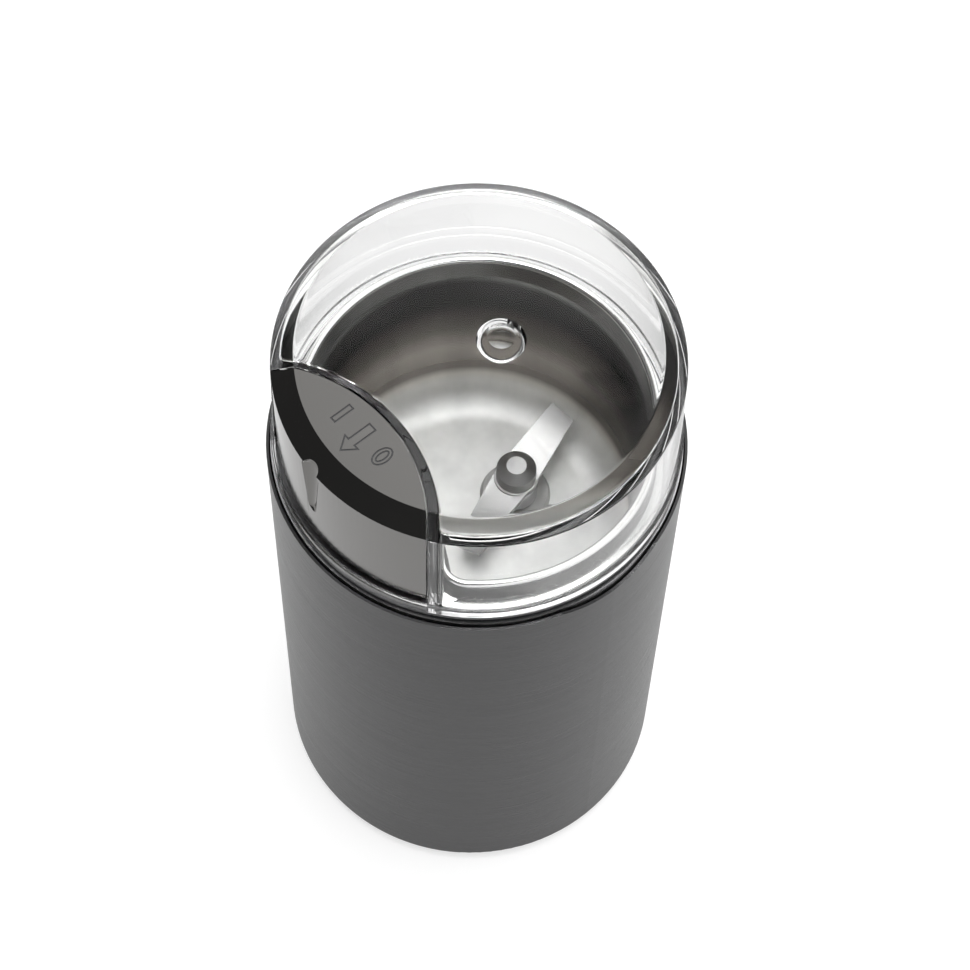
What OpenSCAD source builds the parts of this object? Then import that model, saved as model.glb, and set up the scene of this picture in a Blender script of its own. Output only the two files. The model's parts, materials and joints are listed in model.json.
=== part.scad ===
// Electric spice and coffee grinder: a brushed metal body, a drawn steel bowl with a two-wing blade,
// a clear lift-off lid, and a lens-shaped press button that stands in a cut-out of the lid.
// Millimetres, +Z up. The origin lies on the table, on the axis of the round body.
// The button faces -Y and the cable inlet +Y. The motor and blade turn about an axis set back from
// the button, because the button's well takes part of the round plan.

/* [Body] */
// Outer diameter of the metal sleeve
body_d = 90; // [88:0.5:96]
// Height of the metal sleeve
sleeve_h = 134; // [130:0.5:150]
// Wall of the metal sleeve
sleeve_wall = 0.6; // [0.4:0.1:1]
// Rounding of the sleeve's lower edge
sleeve_round = 1.8; // [1:0.1:3]
// Width of the lip that the sleeve turns in under the base flange
sleeve_lip = 2.2; // [1.9:0.1:3]
// Width of the finger dip in the sleeve's top edge, on each side of the button
grip_w = 26; // [16:1:34]
// Depth of the finger dip
grip_depth = 2; // [0.5:0.1:2.5]

/* [Base] */
// How far the feet stand out below the base
foot_h = 0.8; // [0.5:0.1:3]
// Diameter of a foot
foot_d = 10; // [6:0.5:12]
// Radius of the circle that the feet stand on
foot_circle_r = 33; // [28:0.5:34]
// Depth of the pocket that holds a foot
foot_pocket = 1; // [0.5:0.1:1.4]
// Height of the base's visible band below the sleeve
base_band_h = 1.7; // [1:0.1:3]
// Height of the shadow gap between that band and the sleeve
base_gap_h = 0.5; // [0.3:0.1:1]
// How far the visible band stands in from the sleeve
base_inset = 2.1; // [1.5:0.1:3]
// Thickness of the base flange inside the sleeve
base_flange_t = 2.4; // [1.5:0.1:4]
// Width of a cooling slot
vent_w = 2.2; // [1.5:0.1:3]
// Length of a cooling slot
vent_l = 12; // [6:0.5:13]
// Number of cooling slots
vent_count = 24; // [12:2:28]

/* [Cable inlet] */
// Bore of the cable inlet
inlet_bore_d = 6.4; // [5:0.1:8]
// Outer diameter of the inlet bush
inlet_d = 9; // [8.8:0.1:11]
// Diameter of the inlet's outer flange
inlet_flange_d = 13; // [12:0.1:15]
// Height of the inlet above the base flange
inlet_rise = 9; // [8:0.1:14]

/* [Collar] */
// Radial gap between sleeve and trim ring
collar_gap = 0.4; // [0.2:0.05:0.6]
// How far the trim ring shows above the sleeve
trim_show = 0.9; // [0.5:0.1:2]
// Hidden height of the trim ring below the sleeve's top edge
trim_tuck = 4; // [3:0.1:8]
// Radial thickness of the trim ring
trim_t = 1; // [0.8:0.1:1.5]
// Height of the dark groove above the trim ring
groove_h = 1.2; // [0.8:0.1:2]
// Height of the housing's edge above the groove
edge_h = 1.1; // [0.8:0.1:2]
// How far that edge stands in from the trim ring
edge_inset = 0.4; // [0.2:0.05:1]
// Depth of the groove below that edge
groove_depth = 0.7; // [0.3:0.05:1]

/* [Housing] */
// Wall of the inner plastic housing
housing_wall = 1.8; // [1.4:0.1:2.4]
// Thickness of the deck that carries the lid and the bowl
deck_t = 2.5; // [2:0.1:4]
// Thickness of the partition between bowl and motor
partition_t = 2.4; // [1.6:0.1:3]
// Overlap of the upper and lower housings
spigot_h = 5; // [3:0.1:8]
// Height of the screw posts
post_h = 40; // [20:1:44]
// Diameter of a screw post
post_d = 7; // [6.6:0.1:8]

/* [Bowl] */
// Radius of the bowl's mouth
bowl_r = 37; // [36:0.1:37.2]
// Thickness of the bowl's sheet
bowl_wall = 0.8; // [0.5:0.1:1]
// Height of the bowl's rim above the deck
rim_h = 7.6; // [5:0.1:10]
// Height of the flared band below the rim
flare_h = 4.4; // [2:0.1:6]
// How far the flared band narrows
flare_in = 1; // [0.5:0.1:1.6]
// How far the bowl's wall narrows from the flared band to the floor
bowl_taper = 0.8; // [0.2:0.1:2]
// Depth of the bowl from rim to floor
bowl_depth = 52.8; // [44:0.1:56]
// Rounding between the wall and the floor
bowl_round = 9; // [5:0.1:11]
// Rounding of the two upright corners beside the button
bowl_corner = 4.5; // [3:0.1:6]
// Distance from the body's axis to the motor's axis
motor_offset = 12; // [9:0.1:13]

/* [Blade] */
// Radius swept by the blade
blade_r = 20; // [15:0.1:21]
// Width of a blade wing at its root
blade_w = 10; // [8:0.1:12]
// Thickness of the blade
blade_t = 1.4; // [1:0.1:2]
// Height of the blade above the bowl's floor
blade_rise = 7.4; // [6:0.1:12]
// Twist of each wing
blade_twist = 20; // [10:1:24]
// How far the wings rise and drop towards their tips
blade_lift = 2.2; // [0:0.1:2.5]
// Direction of the blade at rest, from +X
blade_rest_angle = 106; // [0:1:180]
// Diameter of the blade's nut
nut_d = 9; // [8:0.1:11]
// Height of the blade's nut
nut_h = 5; // [4:0.1:7]

/* [Lid] */
// Height of the lid
lid_h = 33.8; // [30:0.1:45]
// Wall of the lid's skirt
lid_wall = 2.2; // [1.6:0.1:2.5]
// Thickness of the lid's top
lid_top_t = 3; // [2:0.1:4]
// Radius at the top of the lid's skirt
lid_top_r = 42.5; // [42:0.1:42.7]
// How far the skirt widens towards the flange
lid_flare = 0.6; // [0.1:0.1:0.7]
// Height of the flange that runs all round the lid
flange_h = 2.7; // [1.5:0.1:4]
// Radial thickness of the flange in front of the button
flange_t = 1; // [0.8:0.1:1.1]
// Width of the sloped edge of the lid and button, seen from above
slope_w = 4.8; // [2:0.1:6]
// Height of the sloped edge
slope_h = 3; // [1.5:0.1:5]
// Radius of the round pip in the lid's top
pip_r = 3.2; // [2:0.1:5]
// Distance from the body's axis to the pip, away from the button
pip_offset = 5.8; // [2:0.1:12]
// How deep the pip is sunk in the lid's top
pip_sink = 0.4; // [0.2:0.1:1]
// Radius of the boss under the pip
pip_boss_r = 5.4; // [4:0.1:7]
// How far that boss hangs below the lid's top plate
pip_drop = 2.2; // [1:0.1:4]

/* [Button] */
// Radius of the arc on the button's inner side
button_arc_r = 35.7; // [33:0.1:36]
// Distance from the body's axis to that arc's centre
arc_centre = 60.3; // [60:0.1:62]
// Radius of the button's outer side
button_r = 42.4; // [42.2:0.1:42.5]
// How far the button's guide skirt stands in from that side
guide_inset = 2; // [1.6:0.1:3]
// Wall of the button
button_wall = 2; // [1.6:0.1:2.4]
// Thickness of the button's top
button_top_t = 2.5; // [2:0.1:3.5]
// How far the button travels
button_travel = 3.5; // [2:0.1:4.5]
// Depth of the button's skirt below the deck
button_tuck = 8; // [4:0.1:14]
// Distance from the body's axis to the button's stem
stem_offset = 33; // [32.2:0.1:33.6]
// Diameter of the stem
stem_d = 6; // [5:0.1:6.4]
// Radius of the thumb groove at its top
notch_r = 2.4; // [1.5:0.1:3]
// Length of the thumb groove
notch_h = 15; // [10:0.1:22]
// How far the groove bites into the button's sloped edge
notch_bite = 1.6; // [0:0.1:2.4]
// Angle of the groove off the button's middle
notch_turn = 3; // [0:0.5:6]
// Thickness of the well's floor
well_floor_t = 2.2; // [1.6:0.1:3]
// Room below the skirt when the button is down
well_room = 4; // [2:0.1:6]

/* [Return spring] */
// Height of the spring at rest
spring_h = 15; // [12:0.1:20]
// Wire of the spring
spring_wire = 0.9; // [0.6:0.1:1.1]
// Turns of the spring
spring_turns = 7; // [5:1:8]

/* [Switch] */
// Width of the switch across the button
switch_w = 20; // [14:0.1:22]
// Depth of the switch
switch_d = 9; // [7:0.1:10]
// Height of the switch
switch_h = 15; // [10:0.1:18]
// Diameter of the switch plunger
plunger_d = 4; // [3:0.1:5]
// Length of the plunger that shows at rest
plunger_show = 4.2; // [4:0.1:6]

/* [Motor] */
// Diameter of the motor shaft
shaft_d = 6; // [5:0.1:6.5]
// Radius of the armature
armature_r = 13; // [11:0.1:13.4]
// Length of the laminated stack
stack_h = 24; // [18:0.1:26]
// Side of the square stator
stator_side = 38; // [37:0.1:40]
// Width of the stator's coil window
window_w = 31.6; // [31:0.1:32]
// Air gap between armature and stator
air_gap = 0.4; // [0.3:0.05:0.8]
// Number of armature slots
slot_count = 12; // [8:2:14]
// Height of a winding's end turns
end_turn_h = 5.6; // [4:0.1:6.2]
// Gap from the end turns to the bracket at each end
bracket_gap = 2; // [1.5:0.1:4]
// Thickness of the motor brackets
bracket_t = 2; // [1.5:0.1:2.6]
// Radius of the commutator
commutator_r = 10; // [8:0.1:11]
// Length of the commutator
commutator_h = 11; // [8:0.1:13]
// Radius of the bearings
bearing_r = 6; // [5:0.1:6.5]
// Height of the bearings
bearing_h = 6; // [4.5:0.1:6.8]
// Distance between the motor's two mounting screws
mount_span = 50; // [46:0.5:56]
// Height of a motor mounting boss
mount_boss_h = 4; // [3.6:0.1:6]
// Radius of the cooling fan
fan_r = 18; // [14:0.1:20]
// Height of the cooling fan
fan_h = 7; // [4:0.1:8]
// Number of fan vanes
fan_count = 9; // [6:1:12]
// Width of a carbon brush
brush_w = 5; // [4:0.1:6]
// Length of a carbon brush
brush_l = 9; // [6:0.1:10]

/* [Capacitor] */
// Width of the suppression capacitor
capacitor_w = 18; // [12:0.5:20]
// Depth of the capacitor
capacitor_d = 7; // [5:0.1:8]
// Height of the capacitor
capacitor_h = 13; // [9:0.1:15]

/* [Hidden] */
$fn = 96;
eps = 0.01;
cut = 1;            // how far a cutting solid runs past the face that it cuts
fit = 0.1;          // fixed pieces that slip together
glide = 0.3;        // pieces that move past each other
running = 0.03;     // shaft in its bearing, on the radius

// Body, from the table up
body_r = body_d / 2;
sleeve_in_r = body_r - sleeve_wall;
base_z = foot_h;
band_top = base_z + base_band_h;
sleeve_z = band_top + base_gap_h;
sleeve_top = sleeve_z + sleeve_h;
flange_z = sleeve_z + sleeve_wall;
housing_z = flange_z + base_flange_t;
band_r = body_r - base_inset;
base_neck_r = body_r - sleeve_lip - glide;
base_flange_r = sleeve_in_r - fit;
collar_r = sleeve_in_r - collar_gap;
trim_z = sleeve_top - trim_tuck;
trim_top = sleeve_top + trim_show;
housing_r = collar_r - trim_t - fit;
housing_in_r = housing_r - housing_wall;
edge_r = collar_r - edge_inset;
groove_r = edge_r - groove_depth;
deck_z = trim_top + groove_h + edge_h;
deck_under = deck_z - deck_t;

// Bowl
bowl_top = deck_z + rim_h;
bowl_floor = bowl_top - bowl_depth;
arc_lid_r = button_arc_r + glide;
arc_lid_in_r = arc_lid_r + lid_wall;
arc_rim_r = arc_lid_in_r + glide + fit;
arc_bowl_r = arc_rim_r + 2 * bowl_wall;
flare_z = bowl_top - bowl_wall - flare_h;
narrowing = flare_in + bowl_taper;
round_z = bowl_floor + bowl_round;

// Housings
foot_angles = [45, 135, 225, 315];
partition_top = bowl_floor - bowl_wall - fit;
partition_z = partition_top - partition_t;
split_z = bowl_floor + spigot_h;
post_circle_r = housing_in_r - post_d / 2 + 0.5;
post_angles = [30, 150, 270];
screw_d = 3;
screw_head_d = 5.4;
screw_head_h = 1.8;
screw_head_z = base_z + 0.6;
screw_l = 12;
vent_r = 14;
inlet_z = housing_z + inlet_rise;
inlet_flange_t = 1.6;
inlet_clip_t = 1.6;
inlet_end = body_r + fit + inlet_flange_t;

// Lid and button
lid_top = deck_z + lid_h;
slope_z = lid_top - slope_h;
flange_top = deck_z + flange_h;
flange_in_r = button_r + glide + fit;
flange_r = flange_in_r + flange_t;
flat_r = lid_top_r - slope_w;
lid_base_r = lid_top_r + lid_flare;
button_flat_r = button_r - slope_w;
skirt_bottom = deck_z - button_tuck;
well_floor = skirt_bottom - button_travel - well_room;
well_under = well_floor - well_floor_t;
guide_r = button_r - guide_inset;
shell_z = deck_z + button_travel + glide;
well_r = guide_r + glide;
well_arc_r = button_arc_r + glide + fit;
stem_at = [0, -stem_offset];
spring_r = stem_d / 2 + glide + spring_wire / 2;
collet_z = well_floor + spring_h;
collet_r = spring_r + spring_wire / 2;
clip_t = 1.2;
clip_depth = 0.6;
clip_z = well_under - fit - clip_t;
stem_end = clip_z - 2;
stem_r = stem_d / 2;

// Switch
plunger_top = stem_end - fit;
switch_top = plunger_top - plunger_show;
switch_z = switch_top - switch_h;
plunger_r = plunger_d / 2;
plunger_l = plunger_show + 6;
rib_t = 2;
tab_w = 4;
tab_t = 0.8;
tab_l = 3.5;
wire_hole_at = stem_at + [0, 2];
wire_hole_r = norm([switch_w / 4 + tab_t, tab_w / 2 + 2]) + glide;

// Motor, from the partition down
axis_at = [0, motor_offset];
shaft_r = shaft_d / 2;
boss_z = partition_z - mount_boss_h;
grommet_lip = 0.8;
grommet_r = 5.5;
grommet_neck_r = 3.6;
mount_screw_d = 3;
upper_bracket_z = boss_z - grommet_lip - fit - bracket_t;
grommet_z = upper_bracket_z - fit - grommet_lip;
stack_top = upper_bracket_z - bracket_gap - end_turn_h;
stack_z = stack_top - stack_h;
lower_turns_z = stack_z - end_turn_h;
commutator_top = lower_turns_z - 2;
commutator_z = commutator_top - commutator_h;
lower_bracket_top = commutator_z - bracket_gap;
lower_bracket_z = lower_bracket_top - bracket_t;
upper_bearing_stand = 1.5;
lower_bearing_stand = 0.5;
upper_bearing_z = upper_bracket_z - upper_bearing_stand;
lower_bearing_top = lower_bracket_top + lower_bearing_stand;
lower_bearing_z = lower_bearing_top - bearing_h;
cup_t = 1.4;
cup_r = bearing_r + fit + cup_t;
washer_r = 4.6;
washer_t = 0.8;
retainer_r = 7.4;
lower_cup_z = lower_bearing_z - fit - cup_t;
fan_top = lower_cup_z - 1.2;
fan_z = fan_top - fan_h;
fan_hub_r = 6;
shaft_z = fan_z - 1;
bore_r = armature_r + air_gap;
slot_in_r = 6.8;
slot_out_r = armature_r - 0.8;
slot_w = 2.2;
slot_mouth = 0.9;
window_h = 14.4;
coil_gap = 1.2;
stator_screw_angles = [45, 225];
stator_screw_at = stator_side / 2 - 3.4;
brush_z = (commutator_z + commutator_top) / 2;
brush_x = commutator_r + glide;
holder_x = brush_x + 1.5;
holder_l = brush_l + 3;
holder_wall = 0.8;
holder_w = brush_w + 2 * (holder_wall + fit);

// Blade
blade_z = bowl_floor + blade_rise;
nut_z = blade_z + blade_t;
shaft_top = nut_z + nut_h - 1.4;
bush_r = 5;
seal_r = 8;
seal_hole_r = 6.6;
seal_lip = 1;
bush_z = bowl_floor + seal_lip + glide;

// Capacitor
capacitor_y = -(housing_in_r - 3.4);
capacitor_z = housing_z + post_h + 3;

// ---------------------------------------------------------------- shared shapes

// A ring with an upright rectangular section
module ring(r_out, r_in, z, h) {
    translate([0, 0, z])
        difference() {
            cylinder(h = h, r = r_out);
            translate([0, 0, -cut]) cylinder(h = h + 2 * cut, r = r_in);
        }
}

// An upright cylinder centred on the arc of the button's inner side
module arc_cylinder(r, z, h) {
    translate([0, -arc_centre, z]) cylinder(h = h, r = r);
}

// The space between a circle round the body's axis and the arc behind the button
module lens(r, arc_r, z, h) {
    intersection() {
        translate([0, 0, z]) cylinder(h = h, r = r);
        arc_cylinder(arc_r, z - cut, h + 2 * cut);
    }
}

// Copies on both sides of the plane x = 0
module both_sides() {
    children();
    mirror([1, 0, 0]) children();
}

// Moves a shape from the body's axis to the motor's axis
module on_axis(z = 0) {
    translate([axis_at[0], axis_at[1], z]) children();
}

// A round tube that winds up a vertical helix, closed at both ends
module coil(r, wire_r, z, h, turns, steps = 14, sides = 6) {
    rings = turns * steps;
    rise = h - 2 * wire_r;
    points = [
        for (i = [0 : rings], j = [0 : sides - 1])
            let (a = 360 * i / steps, b = 360 * j / sides, rr = r + wire_r * cos(b))
            [rr * cos(a), rr * sin(a), z + wire_r + rise * i / rings + wire_r * sin(b)]
    ];
    walls = [
        for (i = [0 : rings - 1], j = [0 : sides - 1], half = [0, 1])
            let (k = (j + 1) % sides, a = i * sides, b = a + sides)
            half == 0 ? [a + j, b + j, a + k] : [a + k, b + j, b + k]
    ];
    first = [for (j = [1 : sides - 2]) [0, j, j + 1]];
    last_ring = rings * sides;
    last = [for (j = [1 : sides - 2]) [last_ring, last_ring + j + 1, last_ring + j]];
    polyhedron(points = points, faces = concat(walls, first, last));
}

// A pan-head screw whose shank points up from its head
module screw(z, shank_h, d = screw_d, head_d = screw_head_d, head_h = screw_head_h) {
    translate([0, 0, z])
        difference() {
            union() {
                cylinder(h = head_h, r = head_d / 2);
                cylinder(h = head_h + shank_h, r = d / 2);
            }
            for (turn = [0, 90])
                rotate(turn)
                    translate([-head_d / 3, -0.35, -cut]) cube([head_d / 1.5, 0.7, cut + head_h / 2]);
        }
}

// ---------------------------------------------------------------- the bowl's plan

// The bowl's plan is a circle round the body's axis, less a circle round the centre of the button's
// arc, with its two corners rounded. A larger grow moves the whole outline outwards, and the centres
// of the corners stay where they are. A corner stands out by corner_ease, so that its arc crosses the
// other two at a small angle.
corner_ease = 0.03;
corner_reach = bowl_r - bowl_corner;
corner_y = -(arc_centre ^ 2 + corner_reach ^ 2 - (arc_bowl_r + bowl_corner) ^ 2) / (2 * arc_centre);
corner_x = sqrt(corner_reach ^ 2 - corner_y ^ 2);
corner_from = atan2(-arc_centre - corner_y, -corner_x);
corner_to = atan2(corner_y, corner_x);
corner_middle = (corner_from + corner_to) / 2;
corner_at = [
    corner_x + corner_ease * cos(corner_middle),
    corner_y + corner_ease * sin(corner_middle)
];

// The wedge between the two tangent points of a corner, seen from the corner's centre
module corner_wedge() {
    reach = 4 * bowl_corner;
    polygon([
        [0, 0],
        reach * [cos(corner_from), sin(corner_from)],
        reach * [cos(corner_middle), sin(corner_middle)],
        reach * [cos(corner_to), sin(corner_to)]
    ]);
}

module bowl_plan(grow) {
    difference() {
        circle(r = bowl_r + grow, $fn = 180);
        translate([0, -arc_centre]) circle(r = arc_bowl_r - grow, $fn = 180);
        both_sides()
            translate(corner_at)
                difference() {
                    corner_wedge();
                    circle(r = bowl_corner + grow);
                }
    }
}

// ---------------------------------------------------------------- body

// Brushed tube, turned in at the bottom, with a shallow finger dip on each side of its top edge
module sleeve() {
    grip_r = (grip_w ^ 2 / 4 + grip_depth ^ 2) / (2 * grip_depth);
    grip_reach = body_r - sqrt(body_r ^ 2 - grip_w ^ 2 / 4) + sleeve_wall + cut;
    color("dimgray")
        difference() {
            rotate_extrude($fn = 180) sleeve_profile();
            both_sides()
                translate([body_r - grip_reach, 0, sleeve_top - grip_depth + grip_r])
                    rotate([0, 90, 0]) cylinder(h = grip_reach + cut, r = grip_r, $fn = 180);
            inlet_hole();
        }
}

module sleeve_profile() {
    bend = [body_r - sleeve_round, sleeve_z + sleeve_round];
    intersection() {
        translate(bend)
            difference() {
                circle(r = sleeve_round);
                circle(r = sleeve_round - sleeve_wall);
            }
        translate([bend[0], sleeve_z]) square(sleeve_round);
    }
    translate([body_r - sleeve_lip, sleeve_z]) square([sleeve_lip - sleeve_round + eps, sleeve_wall]);
    translate([sleeve_in_r, bend[1] - eps]) square([sleeve_wall, sleeve_h - sleeve_round + eps]);
}

// Ring that shows between the sleeve and the dark groove
module trim_ring() {
    color("slategray") ring(collar_r, collar_r - trim_t, trim_z, trim_top - trim_z);
}

// Upper moulding: the collar, the deck under the lid, the button's well and the switch pocket
module top_housing() {
    ledge_h = 1.5;
    well_wall = 1.8;
    color("#26272a")
        difference() {
            union() {
                difference() {
                    union() {
                        translate([0, 0, split_z]) cylinder(h = deck_under - split_z + cut, r = housing_r);
                        translate([0, 0, trim_z - ledge_h]) cylinder(h = ledge_h, r = collar_r - fit);
                        translate([0, 0, deck_under]) cylinder(h = trim_top - deck_under, r = housing_r);
                    }
                    translate([0, 0, split_z - cut])
                        cylinder(h = deck_under - split_z + cut, r = housing_in_r);
                }
                translate([0, 0, deck_under]) cylinder(h = deck_z - edge_h - deck_under, r = groove_r);
                translate([0, 0, deck_z - edge_h]) cylinder(h = edge_h, r = edge_r);
                ring(housing_in_r - fit, housing_in_r - 1.5, split_z - spigot_h + fit, spigot_h - fit + eps);
                ring(housing_in_r + eps, housing_in_r - 1.5, split_z, 2);
                lens(housing_in_r + eps, well_arc_r + well_wall, well_under, deck_z - well_under);
                both_sides() switch_hanger();
            }
            lens(well_r, well_arc_r, well_floor, deck_z - well_floor + cut);
            translate([stem_at[0], stem_at[1], well_under - cut])
                cylinder(h = well_floor_t + 2 * cut, r = stem_r + glide);
            translate([0, 0, deck_under - cut])
                linear_extrude(deck_t + 2 * cut) bowl_plan(bowl_wall + glide - flare_in);
        }
}

// One side of the pocket that hangs under the well and holds the switch
module switch_hanger() {
    hook_h = 2;
    hook_in = 1.5;
    bottom = switch_z - fit - hook_h;
    translate([switch_w / 2 + fit, stem_at[1] - switch_d / 2, bottom])
        cube([rib_t, switch_d, well_under - bottom + eps]);
    translate([switch_w / 2 - hook_in, stem_at[1] - switch_d / 2, bottom])
        cube([hook_in + rib_t, switch_d, hook_h]);
}

// Lower moulding: the tube round the motor, the partition that carries it, and the screw posts
module motor_housing() {
    color("#2e2f33")
        difference() {
            translate([0, 0, housing_z]) cylinder(h = split_z - housing_z, r = housing_r);
            difference() {
                translate([0, 0, housing_z - cut])
                    cylinder(h = partition_z - housing_z + cut, r = housing_in_r);
                at_posts()
                    translate([0, 0, housing_z - 2 * cut]) cylinder(h = post_h + 2 * cut, r = post_d / 2);
                at_mounts(boss_z) cylinder(h = mount_boss_h + cut, r = 4);
                capacitor_pad();
            }
            translate([0, 0, partition_top]) cylinder(h = split_z - partition_top + cut, r = housing_in_r);
            on_axis(partition_z - cut) cylinder(h = partition_t + 2 * cut, r = seal_r + glide);
            translate([wire_hole_at[0], wire_hole_at[1], partition_z - cut])
                cylinder(h = partition_t + 2 * cut, r = wire_hole_r);
            at_mounts(boss_z - cut) cylinder(h = mount_boss_h + cut, r = mount_screw_d / 2 + fit);
            at_posts() translate([0, 0, housing_z - cut]) cylinder(h = screw_l + cut, r = screw_d / 2 + fit);
            inlet_hole();
        }
}

// Copies at the three screw posts
module at_posts() {
    for (a = post_angles)
        rotate(a)
            translate([post_circle_r, 0, 0]) children();
}

// Copies at the motor's two mounting screws
module at_mounts(z) {
    for (side = [-1, 1])
        on_axis(z)
            translate([side * mount_span / 2, 0, 0]) children();
}

// Flat on the inner wall that the capacitor is glued to
module capacitor_pad() {
    pad_w = capacitor_w - 4;
    translate([-pad_w / 2, -body_r, capacitor_z + 1])
        cube([pad_w, body_r + capacitor_y - fit, capacitor_h - 2]);
}

// Base moulding: the band that shows under the sleeve, the flange that carries sleeve and housing
module base_cap() {
    dish_r = housing_in_r - 3;
    plate_t = 2.5;
    dish_h = housing_z - base_z - plate_t;
    boss_r = base_neck_r - post_circle_r - fit;
    bend_r = sleeve_round - sleeve_wall - fit;
    color("#3a3b3e")
        difference() {
            rotate_extrude($fn = 180)
                polygon([
                    [0, base_z], [band_r, base_z], [band_r, band_top], [base_neck_r, band_top],
                    [base_neck_r, flange_z], [base_flange_r - bend_r, flange_z],
                    [base_flange_r, flange_z + bend_r],
                    [base_flange_r, housing_z], [0, housing_z]
                ]);
            difference() {
                translate([0, 0, base_z + plate_t]) cylinder(h = dish_h + cut, r = dish_r);
                at_posts()
                    translate([0, 0, base_z + plate_t - cut]) cylinder(h = dish_h + 3 * cut, r = boss_r);
            }
            for (a = foot_angles)
                rotate(a)
                    translate([foot_circle_r, 0, base_z - cut])
                        cylinder(h = foot_pocket + cut, r = foot_d / 2 + fit);
            at_posts() {
                translate([0, 0, base_z - cut])
                    cylinder(h = screw_head_z + screw_head_h - base_z + cut, r = screw_head_d / 2 + fit);
                cylinder(h = housing_z + cut, r = screw_d / 2 + fit);
            }
            for (i = [0 : vent_count - 1])
                rotate(360 * i / vent_count)
                    translate([vent_r, -vent_w / 2, base_z - cut]) cube([vent_l, vent_w, plate_t + 2 * cut]);
        }
}

// Rubber feet, set in pockets of the base
module feet() {
    color("#1c1c1c")
        for (a = foot_angles)
            rotate(a)
                translate([foot_circle_r, 0, 0]) cylinder(h = foot_h + foot_pocket, r = foot_d / 2);
}

// Screws that hold the base to the posts
module base_screws() {
    color("silver")
        at_posts() screw(screw_head_z, housing_z + screw_l - fit - screw_head_z - screw_head_h);
}

// Room that the inlet bush takes in the walls at the back
module inlet_hole() {
    translate([0, housing_in_r - inlet_d, inlet_z])
        rotate([-90, 0, 0]) cylinder(h = 2 * inlet_d, r = inlet_d / 2 + fit);
}

// Bush through both walls at the back, where a mains cable would pass
module cable_inlet() {
    clip_r = inlet_d / 2 + 1;
    clip_y = sqrt(housing_in_r ^ 2 - clip_r ^ 2) - fit;
    color("#222222")
        translate([0, 0, inlet_z])
            rotate([-90, 0, 0])
                difference() {
                    union() {
                        translate([0, 0, clip_y - inlet_clip_t])
                            cylinder(h = inlet_end - clip_y + inlet_clip_t, r = inlet_d / 2);
                        translate([0, 0, clip_y - inlet_clip_t]) cylinder(h = inlet_clip_t, r = clip_r);
                        translate([0, 0, body_r + fit]) cylinder(h = inlet_flange_t, r = inlet_flange_d / 2);
                    }
                    translate([0, 0, clip_y - inlet_clip_t - cut])
                        cylinder(h = inlet_end - clip_y + inlet_clip_t + 2 * cut, r = inlet_bore_d / 2);
                }
}

// ---------------------------------------------------------------- bowl and blade

// Drawn steel bowl: a round plan drawn in beside the button, a flared band and a rolled rim
module bowl() {
    color("gainsboro")
        difference() {
            bowl_solid() bowl_outside();
            bowl_solid() bowl_inside();
            on_axis(bowl_floor - bowl_wall - cut)
                cylinder(h = bowl_wall + 2 * cut, r = seal_hole_r);
        }
}

// A solid with the bowl's plan, whose side has the profile of the children. The profile is drawn as
// distance outwards from the mouth and height, and it reaches far inwards.
module bowl_solid() {
    low = bowl_floor - bowl_wall - cut;
    high = bowl_top + 2 * cut;
    difference() {
        turned_profile(bowl_r, low, high) children();
        translate([0, -arc_centre, 0])
            rotate_extrude($fn = 180)
                difference() {
                    translate([0, low]) square([arc_bowl_r + body_r, high - low]);
                    translate([arc_bowl_r, 0]) mirror([1, 0]) children();
                }
        both_sides()
            translate([corner_at[0], corner_at[1], 0])
                difference() {
                    translate([0, 0, low]) linear_extrude(high - low) corner_wedge();
                    turned_profile(bowl_corner, low - cut, high + cut) children();
                }
    }
}

module turned_profile(r, low, high) {
    rotate_extrude($fn = 180)
        intersection() {
            translate([r, 0]) children();
            translate([0, low]) square([r + bowl_wall * 3, high - low]);
        }
}

module bowl_inside() {
    rim_z = bowl_top - bowl_wall;
    far = -body_r;
    polygon([
        [far, bowl_floor], [-narrowing - bowl_round, bowl_floor], [-narrowing - bowl_round, round_z],
        [-narrowing, round_z], [-flare_in, flare_z], [0, rim_z], [0, bowl_top + cut], [far, bowl_top + cut]
    ]);
    floor_rounding(bowl_round, bowl_floor);
}

module bowl_outside() {
    rim_z = bowl_top - bowl_wall;
    far = -body_r;
    low = bowl_floor - bowl_wall;
    polygon([
        [far, low], [-narrowing - bowl_round, low], [-narrowing - bowl_round, round_z],
        [bowl_wall - narrowing, round_z], [bowl_wall - flare_in, deck_z], [2 * bowl_wall, deck_z],
        [2 * bowl_wall, rim_z], [bowl_wall, rim_z], [bowl_wall, bowl_top], [far, bowl_top]
    ]);
    translate([bowl_wall, rim_z]) circle(r = bowl_wall, $fn = 32);
    floor_rounding(bowl_round + bowl_wall, low);
}

// Quarter round between floor and wall
module floor_rounding(r, low) {
    intersection() {
        translate([-narrowing - bowl_round, round_z]) circle(r = r);
        translate([-narrowing - bowl_round - eps, low]) square([r + eps, round_z - low + eps]);
    }
}

// Lip seal clipped into the bowl's floor
module shaft_seal() {
    lower = partition_top - 1.2;
    color("#202020")
        on_axis()
            difference() {
                union() {
                    translate([0, 0, bowl_floor]) cylinder(h = seal_lip, r1 = seal_r, r2 = seal_r - 0.6);
                    translate([0, 0, lower]) cylinder(h = bowl_floor - lower + eps, r = seal_hole_r - fit);
                    translate([0, 0, lower]) cylinder(h = bowl_floor - bowl_wall - lower, r = seal_r);
                }
                translate([0, 0, lower - cut])
                    cylinder(h = bowl_floor + seal_lip - lower + 2 * cut, r = shaft_r + fit);
            }
}

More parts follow.
